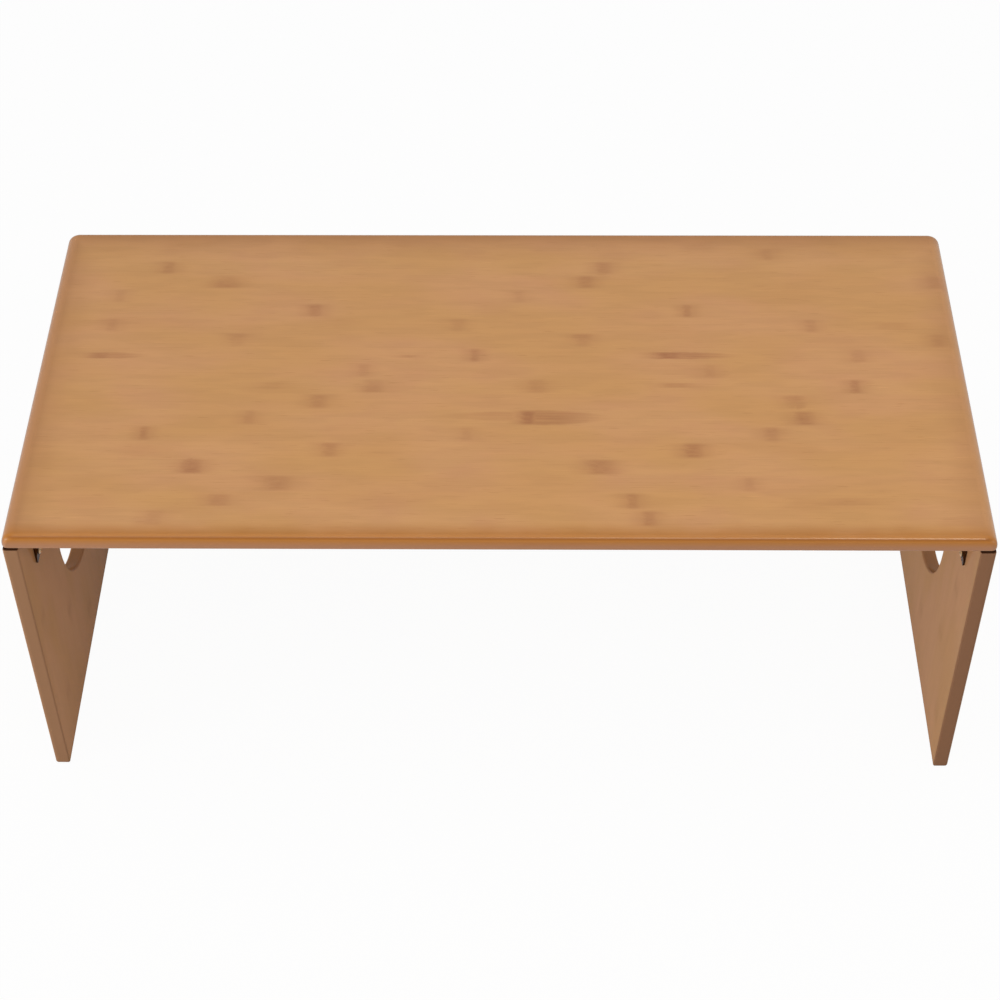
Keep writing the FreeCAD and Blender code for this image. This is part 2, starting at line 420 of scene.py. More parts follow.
@dataclass(frozen=True)
class KnotPattern:
    """The knots of a board as one pattern.

    The knots of a strip are looked up by its number: two stepped ramps hold one knot of every
    strip, coded as colours. A mark is a soft block in a haze, as wide as its cover, shorter in
    the middle of the strip and fading away from the side it leans to, with a thinning streak.

    Attributes:
        knots: the knots.
    """

    knots: tuple[Knot, ...]

    # Millimetres, the last from a streak too short to show to one that is long enough
    longest = 60.0
    longest_streak = 90.0
    ragged_reach = 6.0
    haze_reach = 7.0
    shown_streaks = (3.0, 12.0)

    per_strip = 5
    strips_per_layer = 7.0
    deepest_waist = 0.28
    ragged_grain = Grain(9.0, 3.2, detail=3.0, roughness=0.6)
    line_grain = Grain(60.0, 1.1, level=20.0, detail=1.0)

    @property
    def count(self) -> int:
        """How many strips the ramps hold, the last of them clear."""
        return max(knot.strip for knot in self.knots) + 2

    def signal(self, spot: Spot) -> Signal:
        """All knots at a point, from 0 on clear wood to about 1 in the darkest mark."""
        number = (spot.strip + spot.depth * self.strips_per_layer).wrapped(float(self.count))
        number = (number + 0.5) / self.count
        ragged = spot.noise(self.ragged_grain, level=spot.depth) - 0.5
        lines = spot.noise(self.line_grain, level=spot.depth).rise(0.42, 0.6)
        marks: Signal | None = None
        for rank in range(self.per_strip):
            mark = self._mark(spot, number, rank, ragged, lines)
            marks = mark if marks is None else marks.most(mark)
        return marks

    def _mark(self, spot: Spot, number: Signal, rank: int, ragged: Signal, lines: Signal) -> Signal:
        """The knot of one rank on every strip.

        Args:
            spot: the point.
            number: the strip's number as a share of the ramps.
            rank: which knot of the strip.
            ragged: the noise that frays its outline, about zero on average.
            lines: the fibres that its streak runs in, 0 to 1.

        Returns:
            How dark the mark is at the point.
        """
        looked_up = self._looked_up(spot.recipe, number, rank)
        share, strength, lean, long, streak, cover, waist, _ = looked_up
        lean = lean * 2.0 - 1.0
        streak = (streak * 2.0 - 1.0) * self.longest_streak
        centred = spot.within - 0.5
        middle = 1.0 - abs(centred) * 2.0
        half = long * (self.longest / 2) * (1.0 - middle * waist) * (1.0 + centred * lean * 0.5)
        offset = spot.along - share * spot.length
        away = abs(offset + ragged * self.ragged_reach)
        spread = (abs(centred - lean * (1.0 - cover) * 0.5) * 2.0 + ragged * 0.2) / cover
        fade = 1.0 - abs(lean) * 0.45 + lean * centred * 0.9
        haze = (away / (half + self.haze_reach)).fall(0.1, 1.5) * 0.36
        block = (away / half).fall(0.15, 1.2) * (0.3 + ragged * 0.7)
        mark = spread.fall(0.62, 1.06) * fade * (haze + block)
        run = offset / streak
        thin = (spread / (1.1 - run.most(0.0) ** 2.0)).fall(0.6, 1.05)
        tail = run.fall(0.3, 1.0) * run.rise(-0.05, 0.1) * thin * (lines * 0.2 + 0.32)
        return mark.most(tail * abs(streak).rise(*self.shown_streaks)) * strength

    def _looked_up(self, r: Recipe, number: Signal, rank: int) -> list[Signal]:
        """The values of the knot of one rank on every strip, each from 0 to 1.

        Args:
            r: the recipe.
            number: the strip's number as a share of the ramps.
            rank: which knot of the strip.

        Returns:
            Place, strength, lean, length, streak, cover and waist, and a spare value.
        """
        values: list[Signal] = []
        for half in (0, 1):
            stops = [(i / self.count, self._coded(i, rank)[half]) for i in range(self.count)]
            looked = r.node("ShaderNodeValToRGB", {"stops": stops}, {0: number}, "Color")
            parts = r.node("ShaderNodeSeparateColor", {}, {0: looked})
            values += [*map(parts.output, ("Red", "Green", "Blue")), looked.output("Alpha")]
        return values

    def _coded(self, strip: int, rank: int) -> tuple[Colour, Colour]:
        """The knot of one rank on one strip as two colours with alpha, or one that doesn't show."""
        found = [knot for knot in self.knots if knot.strip == strip]
        if rank >= len(found):
            return (0.0, 0.0, 0.5, 0.3), (0.5, 1.0, 0.2, 1.0)
        knot = found[rank]
        waist = self.deepest_waist * ((strip * 3 + rank * 5) % 4) / 3
        first = (knot.share, knot.strength, 0.5 + knot.lean / 2, knot.length / self.longest)
        return first, (0.5 + (knot.streak + 0.5) / (2 * self.longest_streak), knot.cover, waist, 1.0)


@dataclass(frozen=True)
class Bamboo:
    """Laminated bamboo as a solid pattern: strips side by side in pressed layers, under lacquer.

    Attributes:
        name: the material's name.
        low: the board's lowest corner, in metres.
        high: its highest corner.
        axes: the directions of the fibres, across the strips, and through to the good side.
        knots: the marks on the outer layer.
        tones: its colours.
        layers: how many layers the board has.
        first_strip: how much of the first strip shows at the front, in millimetres.
        strip_width: the width of one strip, in millimetres.
        toning: the lacquer along the start, the end, the front and the rear, close to the start partly
            painted shade.
        contrast: how strongly strips and fibres show, 0 to 1.
        sheen: how strongly the lacquer mirrors, 0 to 1.
        base_sheen: how strongly the wood under it does.
        edge_sheen: the same on the upper edge, where it is thickest.
        painted_light_below_band: where the painted light below begins and is complete, in millimetres below
            the upper face.
        end_grain_and_painted_light_reach: how far the painted light and the end grain reach from the start
            and from the end.
        painted_dark_reflection_share: how dark the painted dark reflection under the upper edge is, 0 to 1.
        bore: the hole through the board, if it has one, with painted shade on its wall.
    """

    name: str
    low: Vector
    high: Vector
    axes: tuple[Axis, Axis, Axis]
    knots: tuple[Knot, ...]
    tones: BambooTones
    layers: int = 3
    first_strip: float = 12.2
    strip_width: float = 19.3
    # The lacquer's toning; the strong darkening close to the start is partly painted shade on its lit
    # rounding
    toning: tuple[Toning, Toning, Toning, Toning] = (
        Toning(45.0, 0.5, 0.6), Toning(40.0, 0.4, 0.0), Toning(20.0, 0.7, 0.15), Toning(45.0, 0.5, 0.4),
    )
    contrast: float = 1.0
    sheen: float = 0.14
    base_sheen: float = 0.14
    edge_sheen: float = 0.9
    painted_light_below_band: tuple[float, float] = (3.0, 12.0)
    end_grain_and_painted_light_reach: tuple[float, float] = (3.5, 2.2)
    painted_dark_reflection_share: float = 0.62
    bore: Bore | None = None

    layer_offset = 0.37
    seeds_per_layer = 31.0
    cloud_grain = Grain(130.0, 55.0, shift=9.0, detail=1.0)
    patch_grain = Grain(42.0, 30.0, level=7.0)
    drift_grain = Grain(90.0, 30.0, shift=7.3, level=3.0, detail=1.0)
    fibre_grain = Grain(80.0, 1.1, 1.1, shift=3.1, detail=3.0, roughness=0.6)
    thread_grain = Grain(26.0, 0.35, 0.35, shift=5.7)
    dash_grain = Grain(17.0, 0.8, 0.8, shift=2.3, detail=0.0)
    glint_grain = Grain(21.0, 0.8, 0.8, shift=4.9, level=40.0, detail=0.0)
    seam_grain = Grain(45.0, 9.0, 9.0, detail=1.0)
    wave_grain = Grain(30.0, 30.0, detail=1.0)

    # Millimetres, each pair being where a change begins and where it is complete
    glue_line = 0.3
    relief_depth = 0.06
    thick_coat_reach = (1.6, 2.3)
    thick_coat_drop = (1.4, 2.2)
    painted_light_below_reach = (0.5, 1.6)
    painted_dark_reflection_reach = (1.0, 3.5)
    painted_dark_reflection_drop = (1.8, 3.8)
    painted_dark_reflection_start = (0.6, 1.4)
    end_grain_and_painted_light_start = 0.1
    painted_bore_shade_reach = (0.2, 2.6)

    # Shares, of a band's width or of a tone
    wave_share = 0.3
    close_share = 0.45
    painted_light_and_end_grain_share = 0.9
    painted_bore_shade_share = 0.8

    def material(self) -> bpy.types.Material:
        """Write the whole finish and return it."""
        r = Recipe(bpy.data.materials.new(self.name))
        spot = self._spot(r)
        chance = r.node("ShaderNodeTexWhiteNoise", {"noise_dimensions": "1D"}, {"W": spot.seed}, "Color")
        chances = r.node("ShaderNodeSeparateColor", {}, {0: chance})
        redder, lighter = chances.output("Red"), chances.output("Green")
        fibres = spot.noise(self.fibre_grain)
        threads = spot.noise(self.thread_grain)
        dashes = spot.noise(self.dash_grain)
        glints = spot.noise(self.glint_grain).rise(0.74, 0.84) * self.contrast
        knots = KnotPattern(self.knots).signal(spot)
        seams = self._seams(spot) * self.contrast

        tones = self.tones
        tints = (
            # Pattern, where it begins to show and shows fully, how strongly it covers, colour
            (redder, 0.1, 0.9, self.contrast * 0.35, tones.rosy),
            (spot.noise(self.patch_grain), 0.4, 0.7, self.contrast * 0.6, tones.rosy),
            (spot.noise(self.cloud_grain, spot.depth), 0.35, 0.65, 0.7, tones.honey),
            (spot.noise(self.drift_grain), 0.5, 0.75, lighter * (self.contrast * 0.22), tones.fibre),
            (fibres, 0.48, 0.8, self.contrast * 0.22, tones.fibre),
            (dashes, 0.72, 0.82, self.contrast * 0.4, tones.fibre),
        )
        body = tones.pale
        for pattern, start, full, cover, colour in tints:
            body = r.mixed(pattern.rise(start, full) * cover, body, colour)
        body = r.mixed(knots * self.contrast, body, tones.knot)
        strips = (lighter - 0.5) * self.contrast
        shade = 0.965 + threads * 0.05 + glints * 0.06 + strips * 0.022 - seams * 0.05
        body = r.shaded(self._lacquer_and_painted_light(spot, body), shade)

        height = fibres * 0.4 + threads * 0.3 - seams * 0.5 - dashes.rise(0.7, 0.85) * 0.3
        thick = spot.outline().fall(*self.thick_coat_reach) * spot.drop().fall(*self.thick_coat_drop)
        constants = {"Coat Roughness": 0.07, "Coat IOR": 1.5, "Specular IOR Level": self.base_sheen}
        varying = {
            "Base Color": body,
            "Roughness": 0.33 + threads * 0.08 + knots * 0.05,
            "Coat Weight": self.sheen + thick * (self.edge_sheen - self.sheen),
            "Normal": r.relief(height, 0.2, self.relief_depth),
        }
        return r.finish(constants, varying)

    def _spot(self, r: Recipe) -> Spot:
        """Any point of the board, with its strip and its layer."""
        place = r.object_place()
        low = self.low / MILLIMETRE
        size = self.high / MILLIMETRE - low
        along, across, through = (place[axis.value] - low[axis.value] for axis in self.axes)
        length, width, thickness = (size[axis.value] for axis in self.axes)
        layer = (through * (self.layers / thickness)).floor().most(0.0).least(self.layers - 1.0)
        depth = float(self.layers - 1) - layer
        hidden = self.strip_width - self.first_strip
        strips = (across + hidden) / self.strip_width + depth * self.layer_offset
        strip = strips.floor()
        seed = strip + layer * self.seeds_per_layer
        return Spot(r, along, across, through, length, width, thickness, strip, strips - strip, depth, seed)

    def _seams(self, spot: Spot) -> Signal:
        """The glue lines between strips and between layers, from 0 to 1, fainter here and there."""
        strips = spot.within.least(1.0 - spot.within) * self.strip_width
        pitch = spot.thickness / self.layers
        layers = abs((spot.through / pitch + 0.5).floor() * pitch - spot.through)
        fading = spot.noise(self.seam_grain).rise(0.4, 0.62, 0.25, 1.0)
        return strips.least(layers).fall(0.0, self.glue_line) * fading

    def _lacquer_and_painted_light(self, spot: Spot, body: Signal) -> Signal:
        """The wood under the lacquer that has gathered along the outline, with painted light: a painted
        dark reflection on the rim, painted reflection and shade on the outer faces, painted light and
        darker end grain at the ends, and painted shade in the bore.

        Args:
            spot: the point.
            body: the colour of the bare wood.

        Returns:
            The toned colour with its painted light.
        """
        r, tones = spot.recipe, self.tones
        wave = (spot.noise(self.wave_grain) - 0.5) * self.wave_share
        near = []
        for gap, toning in zip(spot.gaps(), self.toning):
            wide = (gap + wave * toning.band).fall(0.0, toning.band)
            close = gap.fall(0.0, toning.band * self.close_share)
            near.append(wide * toning.wide + close * toning.close)
        start, end, front, rear = near
        # The lacquer's toning along the sides, close to the start partly painted shade
        body = r.mixed(start.most(end).most(rear), body, tones.toning_and_painted_shade)
        body = r.mixed(front, body, tones.toned)
        outline = spot.outline()
        drop = spot.drop()
        # Painted light on the outer faces: a paler painted reflection of the floor on the top, painted
        # shade on the legs
        lower = outline.fall(*self.painted_light_below_reach) * drop.rise(*self.painted_light_below_band)
        body = r.mixed(lower * self.painted_light_and_end_grain_share, body, tones.lower)
        # A painted dark reflection, the darkest line just under the upper edge
        rim = outline.fall(*self.painted_dark_reflection_reach) * drop.rise(*self.painted_dark_reflection_start) * drop.fall(*self.painted_dark_reflection_drop)
        body = r.mixed(rim * self.painted_dark_reflection_share, body, tones.rim)
        # The ends: a painted greyish reflection on the top, painted shadow in the gap at the legs' heads,
        # end grain soaked with lacquer at their feet
        for gap, reach in zip(spot.gaps(), self.end_grain_and_painted_light_reach):
            body = r.mixed(gap.fall(self.end_grain_and_painted_light_start, reach) * self.painted_light_and_end_grain_share, body, tones.end_grain_and_painted_light)
        # Painted shade on the wall of the bore, where it lies in shadow
        if self.bore is not None:
            aside = (spot.along - self.bore.along) ** 2.0 + (spot.across - self.bore.across) ** 2.0
            painted_wall_shade = (aside**0.5 - self.bore.radius).fall(*self.painted_bore_shade_reach)
            body = r.mixed(painted_wall_shade * self.painted_bore_shade_share, body, tones.toning_and_painted_shade)
        return body


@dataclass(frozen=True)
class SmallFinish:
    """The finish of a small piece, in two colours.

    Attributes:
        name: the material's name.
        colour: its colour.
        other_colour: its colour where it has thinned, dulled or gathered dirt.
    """

    name: str
    colour: Colour
    other_colour: Colour

    def material(self) -> bpy.types.Material:
        """Write the finish and return it."""
        r = Recipe(bpy.data.materials.new(self.name))
        return r.finish(*self.inputs(r))

    def inputs(self, r: Recipe) -> tuple[dict, dict]:
        """The constant and the varying inputs of its surface."""
        raise NotImplementedError


@dataclass(frozen=True)
class Lacquer(SmallFinish):
    """Glossy dark lacquer on pressed steel, with a faint ripple.

    Attributes:
        ripple_size: how wide the ripples are, in millimetres.
        cloud_size: how wide the thin places are.
        sheen: how strongly it mirrors, 0 to 1.
    """

    ripple_size: float = 1.3
    cloud_size: float = 14.0
    sheen: float = 0.25

    def inputs(self, r: Recipe) -> tuple[dict, dict]:
        """The constant and the varying inputs of its surface."""
        ripple = r.object_noise(self.ripple_size, self.ripple_size)
        cloud = r.object_noise(self.cloud_size, self.cloud_size)
        constants = {"Coat Weight": self.sheen, "Coat Roughness": 0.2, "Specular IOR Level": 0.0}
        return constants, {
            "Base Color": r.shaded(r.mixed(cloud, self.colour, self.other_colour), 0.9 + ripple * 0.2),
            "Roughness": 0.42 + cloud * 0.16,
            "Normal": r.relief(ripple, 0.35, 0.05),
        }


@dataclass(frozen=True)
class PlatedSteel(SmallFinish):
    """Zinc plated steel with fine turning marks.

    Attributes:
        mark_spacing: the distance between the turning marks, in millimetres.
        mark_width: how far a mark runs.
        cloud_size: how wide the dull places are.
    """

    mark_spacing: float = 0.12
    mark_width: float = 0.9
    cloud_size: float = 3.0

    def inputs(self, r: Recipe) -> tuple[dict, dict]:
        """The constant and the varying inputs of its surface."""
        marks = r.object_noise(self.mark_width, self.mark_spacing)
        cloud = r.object_noise(self.cloud_size, self.cloud_size, 3.0, 0.6)
        return {"Metallic": 1.0}, {
            "Base Color": r.mixed(cloud.rise(0.4, 0.75) * 0.5, self.colour, self.other_colour),
            "Roughness": 0.24 + cloud * 0.2,
            "Normal": r.relief(marks, 0.2, 0.02),
        }


@dataclass(frozen=True)
class Nylon(SmallFinish):
    """Matt off-white plastic.

    Attributes:
        grain_size: how wide the grain is, in millimetres.
    """

    grain_size: float = 0.4

    def inputs(self, r: Recipe) -> tuple[dict, dict]:
        """The constant and the varying inputs of its surface."""
        grain = r.object_noise(self.grain_size, self.grain_size)
        return {"IOR": 1.53}, {
            "Base Color": r.mixed(grain, self.colour, self.other_colour),
            "Roughness": 0.5 + grain * 0.15,
            "Normal": r.relief(grain, 0.3, 0.02),
        }


# Surfaces


def placed(points: np.ndarray, origin: Vector, up: Vector) -> np.ndarray:
    """Turn a piece that stands upright and move it into the frame.

    Args:
        points: its points in millimetres.
        origin: where its own zero goes, in metres.
        up: the direction from its tip to its head.

    Returns:
        The points in metres.
    """
    turn = np.array(up.to_track_quat("Z", "Y").to_matrix())
    return points @ turn.T * MILLIMETRE + np.array(origin)


def closed_turned_mesh(rows: np.ndarray) -> tuple[np.ndarray, list[tuple[int, ...]]]:
    """Points and faces of a closed turned surface.

    The first and last rings have shrunk to a point, and become one point each, with a fan of
    triangles.

    Args:
        rows: rings about the axis from the top down, as an array of rings, points and numbers.

    Returns:
        The points and the faces, which look outwards.
    """
    rings, around = rows.shape[:2]
    points = np.vstack([rows[0, :1], rows[1:-1].reshape(-1, 3), rows[-1, :1]])
    index = 1 + np.arange((rings - 2) * around).reshape(rings - 2, around)
    following = np.roll(index, -1, axis=1)
    sides = np.stack([index[:-1], index[1:], following[1:], following[:-1]], axis=-1).reshape(-1, 4)
    last = len(points) - 1
    cap = np.stack([np.zeros(around, int), index[0], following[0]], axis=-1)
    tip = np.stack([np.full(around, last), following[-1], index[-1]], axis=-1)
    return points, [*map(tuple, cap.tolist()), *map(tuple, sides.tolist()), *map(tuple, tip.tolist())]


def rings_at(radius: np.ndarray, height: np.ndarray, angle: np.ndarray) -> np.ndarray:
    """Rings about the axis.

    Args:
        radius: one radius for each ring, or one for each point.
        height: the height of each ring.
        angle: the angle of each point, the same in every ring.

    Returns:
        The points as an array of rings, points and three numbers.
    """
    radius = radius.reshape(len(radius), -1) * np.ones_like(angle)
    height = height[:, None] * np.ones_like(angle)
    return np.stack([radius * np.cos(angle), radius * np.sin(angle), height], axis=-1)


@dataclass(frozen=True)
class CrossScrew:
    """A pan head wood screw with a cross recess and a rolled thread, in millimetres.

    Attributes:
        head_radius: the radius of the head.
        head_height: the height of the head above its seat.
        rim_height: the height of the head's upright rim.
        shank_radius: the radius over the thread.
        core_radius: the radius between its turns.
        length: the length below the seat.
        tip_length: the length of the point.
        pitch: the height of one turn of the thread.
        slot_reach: how far the recess reaches from the axis.
        slot_half_width: half the width of its arms.
        slot_depth: its depth.
    """

    head_radius: float = 3.5
    head_height: float = 2.2
    rim_height: float = 0.9
    shank_radius: float = 1.75
    core_radius: float = 1.25
    length: float = 10.0
    tip_length: float = 2.5
    pitch: float = 1.3
    slot_reach: float = 1.9
    slot_half_width: float = 0.42
    slot_depth: float = 1.45

    around = 48
    shank_rings = 56
    seat_edge = 0.15
    seat_rounding = 0.1
    plain_neck = 0.3
    slot_wall = 0.18
    slot_end = 0.2
    slot_shallowing = 0.45
    # Close together over the recess and towards the rim
    head_rings = (0.0, 0.1, 0.2, 0.3, 0.4, 0.5, 0.62, 0.74, 0.86, 0.98, 1.1, 1.3, 1.5, 1.7, 1.9,
                  2.1, 2.4, 2.7, 3.0, 3.25, 3.42, 3.5)

    def rings(self) -> np.ndarray:
        """The whole screw as rings, with its seat at height zero.

        Below the seat the radius swings between core and thread with the height plus the angle,
        which makes the turns climb, and shrinks to nothing over the point.
        """
        angle = np.linspace(0, 2 * math.pi, self.around, endpoint=False)
        head = self._head_rings(angle)
        seat_radius = self.head_radius - self.seat_rounding
        neck = rings_at(np.array((self.head_radius, seat_radius, self.core_radius)),
                        np.array((self.seat_edge, 0.0, 0.0)), angle)
        heights = -np.linspace(self.plain_neck, self.length - 0.02, self.shank_rings)
        turns = heights[:, None] / self.pitch + angle[None, :] / (2 * math.pi)
        crest = np.clip(np.abs((turns % 1.0) - 0.5) * -4.0 + 1.2, 0.0, 1.0)
        start = np.clip(-heights / self.pitch - 0.4, 0.0, 1.0)[:, None]
        taper = np.clip((heights + self.length) / self.tip_length, 0.0, 1.0)[:, None]
        radius = (self.core_radius + (self.shank_radius - self.core_radius) * crest * start) * taper
        shank = rings_at(radius, heights, angle)
        tip = rings_at(np.array((0.0,)), np.array((-self.length,)), angle)
        return np.concatenate([head, neck, shank, tip])

    def _head_rings(self, angle: np.ndarray) -> np.ndarray:
        """The domed head with its recess, less deep further out, from the middle out to the rim."""
        out = np.array(self.head_rings)[:, None] * (self.head_radius / self.head_rings[-1])
        x = out * np.cos(angle)
        y = out * np.sin(angle)
        dome = self.rim_height + (self.head_height - self.rim_height) * (1 - (out / self.head_radius) ** 2)
        sunk = np.maximum(self._in_arm(x, y), self._in_arm(y, x)) * self.slot_depth
        return np.stack([x, y, dome - sunk * (1 - self.slot_shallowing * out / self.slot_reach)], axis=-1)

    def _in_arm(self, beside: np.ndarray, ahead: np.ndarray) -> np.ndarray:
        """How fully points lie in one arm of the cross, 0 to 1, in a straight line over its walls."""
        across = np.clip((self.slot_half_width - np.abs(beside)) / self.slot_wall + 0.5, 0, 1)
        return across * np.clip((self.slot_reach - np.abs(ahead)) / self.slot_end, 0, 1)


@dataclass(frozen=True)
class PeenedRivet:
    """A solid rivet with a domed head at each end, one of them peened with a dimple, in millimetres.

    Attributes:
        head_radius: the radius of the heads.
        length: the length over both heads.
        head_height: the height of each head.
        shank_radius: the radius of the pin.
        dimple_radius: the radius of the punched dimple.
        dimple_depth: its depth.
    """

    head_radius: float
    length: float
    head_height: float = 1.5
    shank_radius: float = 2.5
    dimple_radius: float = 1.5
    dimple_depth: float = 0.5

    around = 56

    def rings(self) -> np.ndarray:
        """The whole rivet as rings about its axis, with its middle at zero.

        Each dome falls with the square of the distance from the axis. The dimple is a cosine.
        """
        angle = np.linspace(0, 2 * math.pi, self.around, endpoint=False)
        out = np.concatenate([np.linspace(0, 0.9, 15), (0.95, 0.98, 1.0)]) * self.head_radius
        dome = self.head_height * (1 - (out / self.head_radius) ** 2)
        near = np.clip(out / self.dimple_radius, 0, 1)
        dimple = self.dimple_depth * (1 + np.cos(math.pi * near)) / 2
        half = self.length / 2 - self.head_height
        radius = np.concatenate([out, (self.shank_radius,), (self.shank_radius,), out[::-1]])
        height = np.concatenate([half + dome - dimple, (half,), (-half,), (-half - dome)[::-1]])
        return rings_at(radius, height, angle)


def add_piece(
    name: str, meshes: list[tuple[np.ndarray, list]], material: bpy.types.Material
) -> bpy.types.Object:
    """One object made of several closed meshes, at the origin, smooth but for its sharp edges.

    Args:
        name: the piece's name.
        meshes: points and faces of each closed part.
        material: its finish.

    Returns:
        The new object.
    """
    points: list[np.ndarray] = []
    faces: list[tuple[int, ...]] = []
    count = 0
    for part_points, part_faces in meshes:
        points.append(part_points)
        faces.extend(tuple(corner + count for corner in face) for face in part_faces)
        count += len(part_points)
    mesh = bpy.data.meshes.new(name)
    mesh.from_pydata(np.vstack(points), [], faces)
    mesh.polygons.foreach_set("use_smooth", np.ones(len(faces), bool))
    mesh.set_sharp_from_angle(angle=math.radians(SHARP_DEG))
    mesh.materials.append(material)
    piece = bpy.data.objects.new(name, mesh)
    bpy.context.scene.collection.objects.link(piece)
    return piece


# Sub-assemblies


@dataclass
class Board:
    """A bamboo board of the frame, dressed in its finish.

    Attributes:
        node: the node it is in the frame.
        finish: the bamboo finish.
    """

    node: str
    finish: Bamboo

    def dress(self) -> None:
        """Give the node its finish."""
        paint_node(self.node, self.finish.material())
        fibres = self.finish.axes[0].name
        log.info("%s: bamboo along %s, %d knots", self.node, fibres, len(self.finish.knots))


def paint_node(node: str, material: bpy.types.Material) -> None:
    """Put one material into every slot of a node of the frame."""
    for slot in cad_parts[node].material_slots:
        slot.material = material


@dataclass
class FoldingBracket:
    """One riveted folding bracket: two pressed arms, a pin, two washers and two rows of screws.

    Attributes:
        side: the leg it is on, left or right.
        end: the end of the leg, front or rear.
        lacquer: the finish of the arms.
        plating: the finish of screws and rivet.
        nylon: the finish of the washers.
        screw: the wood screw.
        middle_share: where the middle screw stands between the first and the last.
        first_turn_deg: how far the first screw is turned in.
        turn_step_deg: how much further each of the others is.
    """

    side: str
    end: str
    lacquer: bpy.types.Material
    plating: bpy.types.Material
    nylon: bpy.types.Material
    screw: CrossScrew
    middle_share: float = 0.52
    first_turn_deg: float = 17.0
    turn_step_deg: float = 31.0

    def dress(self) -> None:
        """Finish the pressed parts and make the screws and the rivet."""
        name = f"{self.side}_{self.end}"
        for arm in ("top_arm", "leg_arm"):
            paint_node(f"{name}_{arm}", self.lacquer)
        paint_node(f"{name}_friction_washers", self.nylon)
        inward = 1.0 if self.side == "left" else -1.0
        self._screws(f"{name}_top_arm_screws", "top", Vector((0, 0, -1)), Axis.X)
        self._screws(f"{name}_leg_arm_screws", f"{self.side}_leg", Vector((inward, 0, 0)), Axis.Z)
        self._rivet(f"{name}_pivot_rivet")
        log.info("%s bracket: 6 screws, 1 rivet, 2 washers", name)

    def _screws(self, node: str, body: str, up: Vector, row: Axis) -> None:
        """Three screws in the place of one node, turned a little differently each.

        Args:
            node: the node they stand for.
            body: the body they move with.
            up: the direction from tip to head.
            row: the direction in which they stand side by side.
        """
        low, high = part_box(node)
        middle = (low + high) / 2
        seat = high if sum(up) > 0 else low
        along_axis = max(range(3), key=lambda i: abs(up[i]))
        first = low[row.value] + self.screw.head_radius * MILLIMETRE
        last = high[row.value] - self.screw.head_radius * MILLIMETRE
        meshes = []
        rings = self.screw.rings()
        for number, share in enumerate((0.0, self.middle_share, 1.0)):
            origin = middle.copy()
            origin[row.value] = first + (last - first) * share
            origin[along_axis] = seat[along_axis] - up[along_axis] * self.screw.head_height * MILLIMETRE
            turn = math.radians(self.first_turn_deg + self.turn_step_deg * number)
            spin = np.array(Matrix.Rotation(turn, 3, "Z"))
            points, faces = closed_turned_mesh(rings @ spin.T)
            meshes.append((placed(points, origin, up), faces))
        piece = add_piece(f"{node}_cross_head", meshes, self.plating)
        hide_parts(node)
        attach(piece, body)

    def _rivet(self, node: str) -> None:
        """The pivot rivet in the place of its node, with its dimpled head outwards."""
        low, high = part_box(node)
        middle = (low + high) / 2
        size = (high - low) / MILLIMETRE
        outward = Vector((0, -1, 0)) if self.end == "front" else Vector((0, 1, 0))
        points, faces = closed_turned_mesh(PeenedRivet(size.x / 2, size.y).rings())
        piece = add_piece(f"{node}_peened", [(placed(points, middle, outward), faces)], self.plating)
        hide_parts(node)
        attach(piece, "top")


WHITE_LIGHT = (1.0, 1.0, 1.0)
WARM_LIGHT = (1.0, 0.8, 0.58)


@dataclass(frozen=True)
class SoftLamp:
    """A soft box.

    Attributes:
        name: its name.
        place: where it stands, in metres.
        aim: the point it looks at.
        width: its width.
        height: its height.
        power: its power in watts.
        colour: the colour of its light.
    """

    name: str
    place: tuple[float, float, float]
    aim: tuple[float, float, float]
    width: float
    height: float
    power: float
    colour: tuple[float, float, float] = WHITE_LIGHT

    def hang(self) -> None:
        """Make the lamp and turn it to its aim."""
        data = bpy.data.lights.new(self.name, "AREA")
        data.shape = "RECTANGLE"
        data.size = self.width
        data.size_y = self.height
        data.energy = self.power
        data.color = self.colour
        lamp = bpy.data.objects.new(self.name, data)
        lamp.location = self.place
        lamp.rotation_euler = (Vector(self.aim) - Vector(self.place)).to_track_quat("-Z", "Y").to_euler()
        bpy.context.scene.collection.objects.link(lamp)


